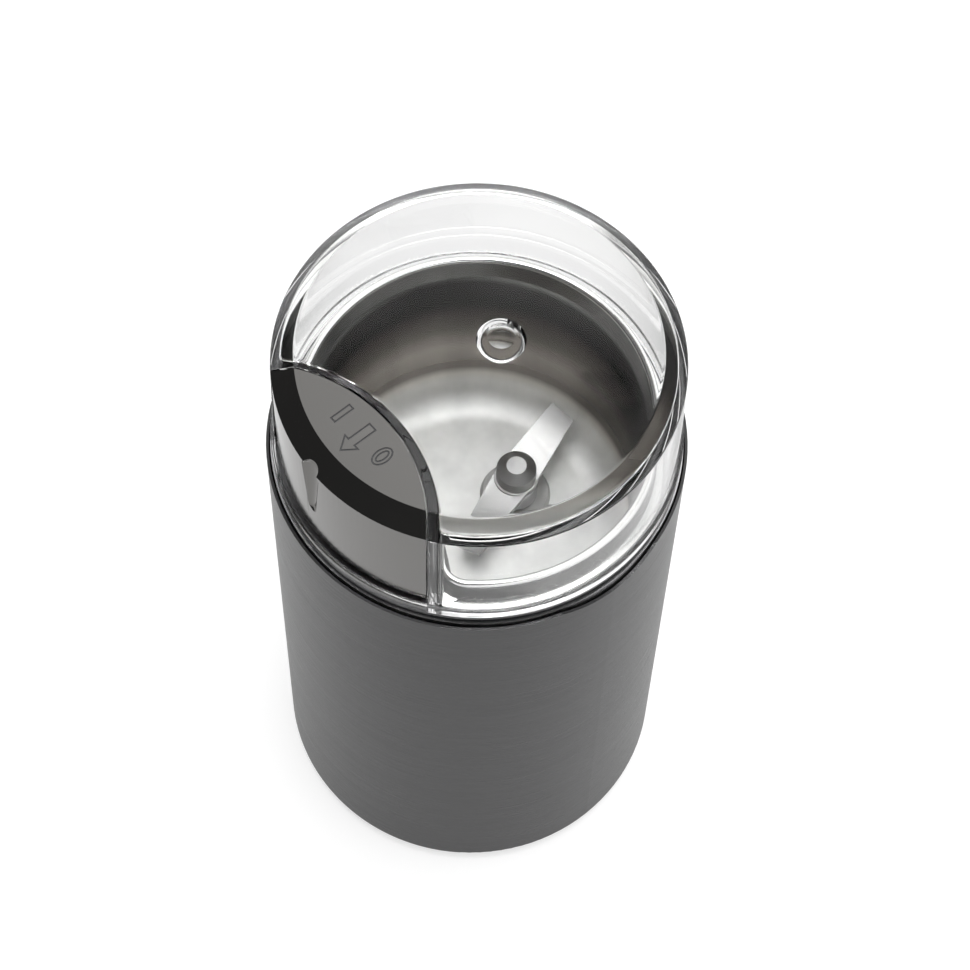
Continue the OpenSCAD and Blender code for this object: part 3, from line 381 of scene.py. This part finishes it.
def make_materials():
    return {
        "brushed_sleeve": brushed_sleeve(),
        "ring_metal": ring_metal(),
        "housing_plastic": housing_plastic(),
        "base_plastic": base_plastic(),
        "rubber": rubber(),
        "screw_steel": plain_metal("screw_steel", (0.55, 0.55, 0.56)),
        "bowl_steel": bowl_steel(),
        "blade_steel": blade_steel(),
        "shaft_steel": plain_metal("shaft_steel", (0.62, 0.62, 0.63), 0.2),
        "laminations": laminations(),
        "copper": copper(),
        "brass": plain_metal("brass", (0.72, 0.5, 0.2)),
        "fan_plastic": moulded("fan_plastic", (0.7, 0.68, 0.62)),
        "bracket_metal": plain_metal("bracket_metal", (0.55, 0.56, 0.58), 0.4),
        "bronze": plain_metal("bronze", (0.5, 0.34, 0.16), 0.4),
        "carbon": moulded("carbon", (0.03, 0.03, 0.032), 0.6),
        "button_plastic": button_plastic(),
        "switch_plastic": moulded("switch_plastic", (0.02, 0.02, 0.022), 0.45),
        "plunger_plastic": moulded("plunger_plastic", (0.5, 0.06, 0.04), 0.4),
        "capacitor_case": moulded("capacitor_case", (0.7, 0.5, 0.12), 0.35),
        "clear_plastic": clear_plastic(),
    }


def dress_nodes(materials):
    """Gives each carried-over node the material of its slot"""
    for part in frame["record"]["subparts"]:
        data = NODES[part["node"]].data
        data.materials.clear()
        data.materials.append(materials[part["material_slot"]])


# ---------------------------------------------------------------- meshes


def new_mesh(name, points, faces):
    """A mesh from points in millimetres"""
    data = bpy.data.meshes.new(name)
    data.from_pydata([Vector(p) * MM for p in points], [], faces)
    return data


def dress(data, name, slot_name, materials, body, *replaced, sharp=35):
    """A smoothed piece with its material, which rides on a body and stands for the nodes it replaces"""
    data.update()
    data.polygons.foreach_set("use_smooth", [True] * len(data.polygons))
    data.set_sharp_from_angle(angle=math.radians(sharp))
    obj = placed(name, data)
    even = obj.modifiers.new("even", "WEIGHTED_NORMAL")
    even.mode, even.weight, even.keep_sharp = "FACE_AREA", 100, True
    evaluated = obj.evaluated_get(bpy.context.evaluated_depsgraph_get())
    obj.data = bpy.data.meshes.new_from_object(evaluated)
    obj.modifiers.clear()
    obj.data.materials.clear()
    obj.data.materials.append(materials[slot_name])
    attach(obj, body)
    if replaced:
        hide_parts(*replaced)


def soften(corners, steps=4):
    """A line through corners, each a tuple of numbers and the length that its rounding takes"""
    line = []
    for i, (corner, setback) in enumerate(corners):
        here = np.array(corner, float)
        if setback == 0 or i in (0, len(corners) - 1):
            line.append(here)
            continue
        before, after = (np.array(corners[j][0], float) - here for j in (i - 1, i + 1))
        before *= setback / np.linalg.norm(before)
        after *= setback / np.linalg.norm(after)
        for k in range(steps + 1):
            t = k / steps
            line.append(here + (1 - t) ** 2 * before + t ** 2 * after)
    return line


def loft(loops):
    """Closed solid through loops of equally many points, capped at both ends"""
    count = len(loops[0])
    points = [p for loop in loops for p in loop]
    faces = []
    for k in range(len(loops) - 1):
        a, b = k * count, (k + 1) * count
        faces += [(a + i, a + (i + 1) % count, b + (i + 1) % count, b + i) for i in range(count)]
    faces.append(tuple(reversed(range(count))))
    faces.append(tuple(range((len(loops) - 1) * count, len(loops) * count)))
    return points, faces


def lathe(profile, count, centre):
    """Closed solid of revolution through a profile of radius and height, from the axis to the axis"""
    directions = [2 * math.pi * i / count for i in range(count)]
    return loft([[(centre[0] + r * math.cos(a), centre[1] + r * math.sin(a), z) for a in directions]
                 for r, z in profile])


def cylinder(r, z_low, z_high, count, centre):
    return lathe([(NEAR_AXIS, z_low), (r, z_low), (r, z_high), (NEAR_AXIS, z_high)], count, centre)


# ---------------------------------------------------------------- plans


def polar(r, degrees, centre=(0.0, 0.0)):
    a = math.radians(degrees)
    return (centre[0] + r * math.cos(a), centre[1] + r * math.sin(a))


def arc(r, start, end, count, centre=(0.0, 0.0)):
    """Points along an arc, the last one left out"""
    return [polar(r, start + (end - start) * i / count, centre) for i in range(count)]


def rectangle(half_w, low_side, high_side):
    """Corners of a rectangle that is centred across its width"""
    return [(-half_w, low_side), (half_w, low_side), (half_w, high_side), (-half_w, high_side)]


def corner_place(reach, arc_reach):
    """Centre of a rounded corner, and its directions from the body's axis and from the arc's centre"""
    away = -ARC_AT[1]
    y = (arc_reach ** 2 - reach ** 2 - away ** 2) / (2 * away)
    x = math.sqrt(reach ** 2 - y ** 2)
    return x, y, math.degrees(math.atan2(y, x)), math.degrees(math.atan2(y + away, x))


def kidney(outer_r, arc_r, corner_r, counts=(216, 10, 84)):
    """Circle round the body's axis, less a circle round the arc's centre, with rounded corners"""
    x, y, side, back = corner_place(outer_r - corner_r, arc_r + corner_r)
    points = arc(outer_r, side, 180 - side, counts[0])
    points += arc(corner_r, 180 - side, 360 - back, counts[1], (-x, y))
    points += arc(arc_r, 180 - back, back, counts[2], ARC_AT)
    points += arc(corner_r, back - 180, side, counts[1], (x, y))
    return points


def kidney_solid(line):
    """Closed solid through a line of outer radius, arc radius, corner radius and height"""
    return loft([[(*p, z) for p in kidney(outer_r, arc_r, corner_r)] for outer_r, arc_r, corner_r, z in line])


# ---------------------------------------------------------------- solids cut and joined


def scratch(points, faces):
    """Object that only feeds a boolean"""
    return placed("scratch", new_mesh("scratch", points, faces))


def combined(base, *steps):
    """Mesh of an object after exact booleans with scratch objects, which are all removed"""
    for operation, tool in steps:
        modifier = base.modifiers.new(operation, "BOOLEAN")
        modifier.operation, modifier.object, modifier.solver = operation, tool, "EXACT"
    graph = bpy.context.evaluated_depsgraph_get()
    data = bpy.data.meshes.new_from_object(base.evaluated_get(graph))
    for obj in [base] + [tool for _, tool in steps]:
        bpy.data.objects.remove(obj)
    mesh = bmesh.new()
    mesh.from_mesh(data)
    bmesh.ops.remove_doubles(mesh, verts=mesh.verts, dist=MERGE * MM)
    bmesh.ops.dissolve_degenerate(mesh, edges=mesh.edges, dist=MERGE * MM)
    bmesh.ops.recalc_face_normals(mesh, faces=mesh.faces)
    mesh.to_mesh(data)
    mesh.free()
    return data


# ---------------------------------------------------------------- lid

LID_WALL = 2.2
LID_PLATE = 3.0
LID_R = 42.5
LID_FOOT_R = 43.1
LID_ARC_R = 36.0
LID_FOOT = DECK_Z + 0.08  # a film of air over the deck, which the light needs
LID_CEILING = LID_TOP - LID_PLATE
SLOPE_W, SLOPE_H = 4.8, 3.0
FLANGE_TOP = DECK_Z + 2.7
FLANGE_ROUNDS = (0.25, 0.35)  # at its foot and at its top
BRIDGE_IN_R = BUTTON_R + 0.4
BRIDGE_HALF_W = 28.5
BRIDGE_INSET = 0.02  # keeps the bridge's faces off the shell's
PIP_AT = (0.0, 5.8)
PIP_R, PIP_FOOT_R = 5.4, 4.3
PIP_DROP = 2.2
SINK_R, SINK_DEPTH = 3.2, 0.6
PIP_SIDES = 96


def lid_shell():
    """Wall, plate and the part of the foot's flange that follows the wall"""
    inner_arc = LID_ARC_R + LID_WALL
    inner_corner, corner = 1.5, 0.35
    return kidney_solid(soften([
        ((LID_R - LID_WALL - 1, inner_arc + 1, inner_corner, LID_CEILING), 0),
        ((LID_R - LID_WALL, inner_arc, inner_corner, LID_CEILING), 0.6),
        ((LID_FOOT_R - LID_WALL, inner_arc, inner_corner, LID_FOOT), 0.3),
        ((FLANGE_R, LID_ARC_R, corner, LID_FOOT), FLANGE_ROUNDS[0]),
        ((FLANGE_R, LID_ARC_R, corner, FLANGE_TOP), FLANGE_ROUNDS[1]),
        ((LID_FOOT_R, LID_ARC_R, corner, FLANGE_TOP), 0.3),
        ((LID_R, LID_ARC_R, corner, LID_TOP - SLOPE_H), 0.3),
        ((LID_R - SLOPE_W, LID_ARC_R, corner, LID_TOP), 0.3),
        ((LID_R - SLOPE_W - 0.6, LID_ARC_R + 0.6, corner, LID_TOP), 0),
    ]))


def lid_bridge():
    """The part of the foot's flange that passes in front of the button"""
    side = math.degrees(math.asin(BRIDGE_HALF_W / BRIDGE_IN_R))
    foot, top = LID_FOOT + BRIDGE_INSET, FLANGE_TOP - BRIDGE_INSET
    round_low, round_high = FLANGE_ROUNDS
    loops = []
    for z, rounding in ((foot, round_low), (foot + round_low, 0), (top - round_high, 0), (top, round_high)):
        inset = BRIDGE_INSET + rounding
        loop = [polar(FLANGE_R - inset, a) for a in np.linspace(FRONT - side, FRONT + side, 61)]
        loop += [polar(BRIDGE_IN_R + inset, a) for a in np.linspace(FRONT + side, FRONT - side, 61)]
        loops.append([(*p, z) for p in loop])
    return loft(loops)


def pip_boss():
    """Round boss under the plate"""
    foot, root = LID_CEILING - PIP_DROP, LID_CEILING + 0.6
    profile = soften([((0, foot), 0), ((PIP_FOOT_R, foot), 0.8), ((PIP_R, root), 0), ((0, root), 0)])
    return lathe([(max(r, NEAR_AXIS), z) for r, z in profile], PIP_SIDES, PIP_AT)


def pip_sink():
    """Dish in the plate's top over the boss"""
    profile = [(NEAR_AXIS + (SINK_R - NEAR_AXIS) * t, LID_TOP - SINK_DEPTH + SINK_DEPTH * t ** 2)
               for t in (k / 10 for k in range(11))]
    profile += [(SINK_R + 0.1, LID_TOP + 0.5), (NEAR_AXIS, LID_TOP + 0.5)]
    return lathe(profile, PIP_SIDES, PIP_AT)


def lid(materials):
    data = combined(scratch(*lid_shell()), ("UNION", scratch(*lid_bridge())),
                    ("UNION", scratch(*pip_boss())), ("DIFFERENCE", scratch(*pip_sink())))
    dress(data, "lid_clear", "clear_plastic", materials, "lid", "lid", sharp=25)


# ---------------------------------------------------------------- bowl

BOWL_R = 37.0
BOWL_ARC_R = 40.2
BOWL_CORNER = 4.5
BOWL_WALL = 0.8
BOWL_FLOOR = 95.0
BOWL_TURN = 9.0  # radius between the floor and the wall
TURN_Z = BOWL_FLOOR + BOWL_TURN
NARROWING = 1.8  # of the wall at its foot, against the mouth
FLARE_IN, FLARE_Z = 1.0, 142.6  # where the wall starts to open towards the rim
ROLL_Z = 147.0  # centre of the rolled rim
ROLL_FOOT = 141.4
BOWL_FLANGE = 3.6  # reach past the mouth
BOWL_FLANGE_ARC = 1.7  # reach past the mouth on the button's side
BOWL_FLANGE_Z = 141.0
SEAL_HOLE_R = 6.6


def floor_turn(r):
    """Quarter circle between the floor and the wall, as offsets from the mouth and heights"""
    return [(-NARROWING - BOWL_TURN + r * math.sin(t), TURN_Z - r * math.cos(t))
            for t in np.linspace(0, math.pi / 2, 14)]


def offset_rows(line):
    """Rows of even offset from the mouth, with the corners' radius and the height"""
    return [(out, out, max(BOWL_CORNER + out, 0.6), z) for out, z in line]


def bowl_rows():
    """Rows up the inside, over the rim, out along the flange and down the outside"""
    line = floor_turn(BOWL_TURN)
    taper = NARROWING - FLARE_IN
    line += [(-FLARE_IN - taper * (1 - t), TURN_Z + (FLARE_Z - TURN_Z) * t)
             for t in (k / 12 for k in range(1, 12))]
    line += soften([((-FLARE_IN - 0.06, FLARE_Z - 2.6), 0), ((-FLARE_IN, FLARE_Z), 0.7), ((0, ROLL_Z), 0)], 6)
    line += [(BOWL_WALL - BOWL_WALL * math.cos(t), ROLL_Z + BOWL_WALL * math.sin(t))
             for t in np.linspace(0.1, math.pi, 12)]
    line += [(2 * BOWL_WALL, z) for z in (145, 143, ROLL_FOOT)]
    flange = [
        (1.9, 1.65, 5.5, BOWL_FLANGE_Z + 0.05),
        (BOWL_FLANGE - 0.25, BOWL_FLANGE_ARC, 0.9, BOWL_FLANGE_Z),
        (BOWL_FLANGE, BOWL_FLANGE_ARC, 0.8, BOWL_FLANGE_Z - 0.2),
        (BOWL_FLANGE, BOWL_FLANGE_ARC, 0.8, DECK_Z),
        (-0.2, -0.2, 4.3, DECK_Z),
        (-0.95, -0.95, 3.5, 112.0),
        (-1.0, -1.0, 3.5, TURN_Z),
    ]
    return offset_rows(line) + flange + offset_rows(reversed(floor_turn(BOWL_TURN + BOWL_WALL)[:-1]))


def bowl(materials):
    body = scratch(*kidney_solid([(BOWL_R + out, BOWL_ARC_R - arc_out, corner, z)
                                  for out, arc_out, corner, z in bowl_rows()]))
    hole = scratch(*cylinder(SEAL_HOLE_R, BOWL_FLOOR - 2, BOWL_FLOOR + 1, 96, MOTOR_AT))
    data = combined(body, ("DIFFERENCE", hole))
    dress(data, "drawn_bowl", "bowl_steel", materials, "housing", "bowl", sharp=40)


# ---------------------------------------------------------------- blade

BLADE_Z = 102.4
BLADE_T = 1.4
BLADE_TURN = 106
HUB_R = 5
WING_FROM, WING_TO = 2.0, 18.9
WING_ROOT_W, WING_TIP_W = 9.0, 6.2
WING_TIP_T = 0.7
WING_TWIST = 20
WING_LIFT = 2.2  # one wing's tip goes up by this, the other's down


def wing(lift, turn):
    """One wing, twisted from its root to its tip, as a closed solid"""
    root = [Vector((WING_FROM, y, z)) for y, z in rectangle(WING_ROOT_W / 2, 0, BLADE_T)]
    c, s = math.cos(math.radians(WING_TWIST)), math.sin(math.radians(WING_TWIST))
    middle = BLADE_T / 2 + lift
    tip = [Vector((WING_TO, y * c - z * s, middle + y * s + z * c))
           for y, z in rectangle(WING_TIP_W / 2, -WING_TIP_T / 2, WING_TIP_T / 2)]
    place = Matrix.Translation((*MOTOR_AT, BLADE_Z)) @ Matrix.Rotation(math.radians(turn), 4, "Z")
    return loft([[place @ a.lerp(b, t) for a, b in zip(root, tip)] for t in np.linspace(0, 1, 17)])


def blade_hub():
    z_low, z_high = BLADE_Z, BLADE_Z + BLADE_T
    profile = soften([((NEAR_AXIS, z_low), 0), ((HUB_R, z_low), 0.2), ((HUB_R, z_high), 0.2),
                      ((NEAR_AXIS, z_high), 0)])
    return lathe(profile, 96, MOTOR_AT)


def blade(materials):
    hub = scratch(*blade_hub())
    wings = [("UNION", scratch(*wing(WING_LIFT, BLADE_TURN))),
             ("UNION", scratch(*wing(-WING_LIFT, BLADE_TURN + 180)))]
    bore = scratch(*cylinder(SHAFT_R + 0.1, BLADE_Z - 1, BLADE_Z + 3, 64, MOTOR_AT))
    data = combined(hub, *wings, ("DIFFERENCE", bore))
    dress(data, "twisted_blade", "blade_steel", materials, "armature", "blade", sharp=30)


# ---------------------------------------------------------------- button

SIGN_LINE = 0.36
SIGN_DEPTH = 0.25
SIGN_FILL = 0.12  # height of the dark line at a groove's foot
SIGN_ROOM = 0.02  # between that line's width and the groove's
SIGN_Y = -30.3
BAR_X, BAR_W = -6.6, 1.2
ARROW_X, ARROW_HEAD_W, ARROW_SHAFT_W = -0.3, 4.1, 1.9
ARROW_TIP, ARROW_SHOULDER, ARROW_TAIL = -35.8, -33.0, -27.6
RING_X = 6.05
SIGN_HALF_H = 2.35
RING_HALF_SIZES = ((1.45, SIGN_HALF_H), (0.7, 1.6))
GROOVE_AT = polar(BUTTON_R + 0.9, FRONT - 3)
GROOVE_LOW = (1.6, 154.5)  # radius and height of its round lower end
GROOVE_HIGH = (3.05, 169.3)  # radius and height of its round upper end


def band_solid(path, width, z_low, z_high):
    """Closed line of a width along a closed path, as a solid"""
    path = [Vector((*p, 0)) for p in path]
    outer, inner = [], []
    for i, here in enumerate(path):
        before = (here - path[i - 1]).normalized()
        after = (path[(i + 1) % len(path)] - here).normalized()
        normal = Vector((before.y + after.y, -before.x - after.x, 0)).normalized()
        reach = width / 2 / max(0.3, normal.dot(Vector((before.y, -before.x, 0))))
        outer.append(here + reach * normal)
        inner.append(here - reach * normal)
    points = [(p.x, p.y, z) for z in (z_low, z_high) for loop in (outer, inner) for p in loop]
    faces = []
    count = len(path)
    for i in range(count):
        low_out, low_in, high_out, high_in = ((i + k * count, (i + 1) % count + k * count) for k in range(4))
        faces.append((low_out[0], low_in[0], low_in[1], low_out[1]))
        faces.append((high_out[0], high_out[1], high_in[1], high_in[0]))
        faces.append((low_out[0], low_out[1], high_out[1], high_out[0]))
        faces.append((low_in[0], high_in[0], high_in[1], low_in[1]))
    return points, faces


def sign_paths():
    """The bar, the arrow and the ring's two lines on the button's top, all along Y"""
    bar = [(BAR_X + x, y) for x, y in rectangle(BAR_W / 2, SIGN_Y - SIGN_HALF_H, SIGN_Y + SIGN_HALF_H)]
    head, shaft = ARROW_HEAD_W / 2, ARROW_SHAFT_W / 2
    arrow = [(ARROW_X + x, y) for x, y in (
        (0, ARROW_TIP), (head, ARROW_SHOULDER), (shaft, ARROW_SHOULDER), (shaft, ARROW_TAIL),
        (-shaft, ARROW_TAIL), (-shaft, ARROW_SHOULDER), (-head, ARROW_SHOULDER))]
    rings = [[(RING_X + half_w * math.cos(t), SIGN_Y + half_h * math.sin(t))
              for t in np.linspace(0, 2 * math.pi, 40, endpoint=False)] for half_w, half_h in RING_HALF_SIZES]
    return [bar, arrow] + rings


def signs(materials):
    """Dark lines at the foot of the signs' grooves, and one scratch object that cuts all the grooves"""
    bottom = BUTTON_TOP - SIGN_DEPTH
    points, faces = [], []
    for k, path in enumerate(sign_paths()):
        more_points, more_faces = band_solid(path, SIGN_LINE, bottom, BUTTON_TOP + 0.3)
        faces += [tuple(len(points) + i for i in face) for face in more_faces]
        points += more_points
        fill = new_mesh(f"sign_{k}", *band_solid(path, SIGN_LINE - SIGN_ROOM, bottom, bottom + SIGN_FILL))
        dress(fill, f"sign_{k}", "switch_plastic", materials, "button")
    return scratch(points, faces)


def bare_button():
    """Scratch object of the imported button, without the edges that cross its flat faces"""
    mesh = bmesh.new()
    mesh.from_mesh(NODES["press_button"].data)
    bmesh.ops.remove_doubles(mesh, verts=mesh.verts, dist=MERGE * MM)
    bmesh.ops.dissolve_limit(mesh, angle_limit=math.radians(0.2), verts=mesh.verts, edges=mesh.edges)
    data = bpy.data.meshes.new("scratch")
    mesh.to_mesh(data)
    mesh.free()
    return placed("scratch", data)


def thumb_groove():
    """Upright groove in the button's front, round at both ends and wider towards its top"""
    profile = []
    for (r, z), turn in ((GROOVE_LOW, np.linspace(0.02, math.pi / 2, 12)),
                         (GROOVE_HIGH, np.linspace(math.pi / 2, 3.12, 14))):
        profile += [(r * math.sin(t), z - r * math.cos(t)) for t in turn]
    return lathe(profile, 96, GROOVE_AT)


def button(materials):
    body = bare_button()
    sign_cutter = signs(materials)
    groove = scratch(*thumb_groove())
    data = combined(body, ("DIFFERENCE", groove), ("DIFFERENCE", sign_cutter))
    dress(data, "button_shell", "button_plastic", materials, "button", "press_button", sharp=18)


# ---------------------------------------------------------------- floor and light

FLOOR_REACH = 6.0  # metres
FLOOR_GLOW = (0.38, 0.66)  # for reflections and for the camera
SKY = 1.2
DARK_SIDE = 0.08
DARK_SIDE_AZIMUTH = 255.0
DARK_SIDE_HEIGHT = 40.0
DARK_SIDE_EDGE = (0.38, 0.62)  # cosines of the angles where it starts and is full
OVERHEAD = 9.0
OVERHEAD_EDGE = (0.93, 0.98)  # cosines of the angles where it starts and is full


def floor():
    data = bpy.data.meshes.new("floor")
    corners = rectangle(FLOOR_REACH, -FLOOR_REACH, FLOOR_REACH)
    data.from_pydata([(*p, 0) for p in corners], [], [(0, 1, 2, 3)])
    obj = placed("floor", data)
    f = Finish("floor", (0.4, 0.4, 0.4), 0.0, 0.9, Specular_IOR_Level=0.0)
    f.set("Emission Color", (1, 1, 1, 1))
    path = f.node("ShaderNodeLightPath")
    f.drive("Emission Strength", f.remap(path.outputs["Is Camera Ray"], *FLOOR_GLOW, 0, 1))
    data.materials.append(f.material)


def world():
    """Even sky with a dark side and a bright patch overhead, all white to the camera"""
    new = bpy.data.worlds.new("studio")
    new.use_nodes = True
    nodes, links = new.node_tree.nodes, new.node_tree.links
    direction = nodes.new("ShaderNodeTexCoord").outputs["Generated"]

    def around(vector, cosines, levels):
        """Value by the cosine of the angle to a direction"""
        dot = nodes.new("ShaderNodeVectorMath")
        dot.operation = "DOT_PRODUCT"
        dot.inputs[1].default_value = vector
        links.new(direction, dot.inputs[0])
        edge = nodes.new("ShaderNodeMapRange")
        edge.interpolation_type = "SMOOTHERSTEP"
        for key, value in zip(("From Min", "From Max", "To Min", "To Max"), (*cosines, *levels)):
            edge.inputs[key].default_value = value
        links.new(dot.outputs["Value"], edge.inputs["Value"])
        return edge.outputs["Result"]

    reach, height = polar(1, DARK_SIDE_HEIGHT)
    dark_side = (*polar(reach, DARK_SIDE_AZIMUTH), height)
    sky = nodes.new("ShaderNodeMath")
    sky.operation = "ADD"
    links.new(around(dark_side, DARK_SIDE_EDGE, (SKY, DARK_SIDE)), sky.inputs[0])
    links.new(around((0, 0, 1), OVERHEAD_EDGE, (0, OVERHEAD)), sky.inputs[1])
    path = nodes.new("ShaderNodeLightPath")
    pick = nodes.new("ShaderNodeMix")
    pick.inputs["B"].default_value = 1.0
    links.new(path.outputs["Is Camera Ray"], pick.inputs["Factor"])
    links.new(sky.outputs["Value"], pick.inputs["A"])
    background = nodes["Background"]
    background.inputs["Color"].default_value = (1, 1, 1, 1)
    links.new(pick.outputs["Result"], background.inputs["Strength"])
    bpy.context.scene.world = new


def settings():
    scene = bpy.context.scene
    scene.view_settings.view_transform = "Standard"
    scene.cycles.glossy_bounces = 8
    scene.cycles.transmission_bounces = 16
    scene.cycles.max_bounces = 20


# ---------------------------------------------------------------- scene

settings()
camera()
world()
floor()
materials = make_materials()
dress_nodes(materials)
lid(materials)
bowl(materials)
blade(materials)
button(materials)
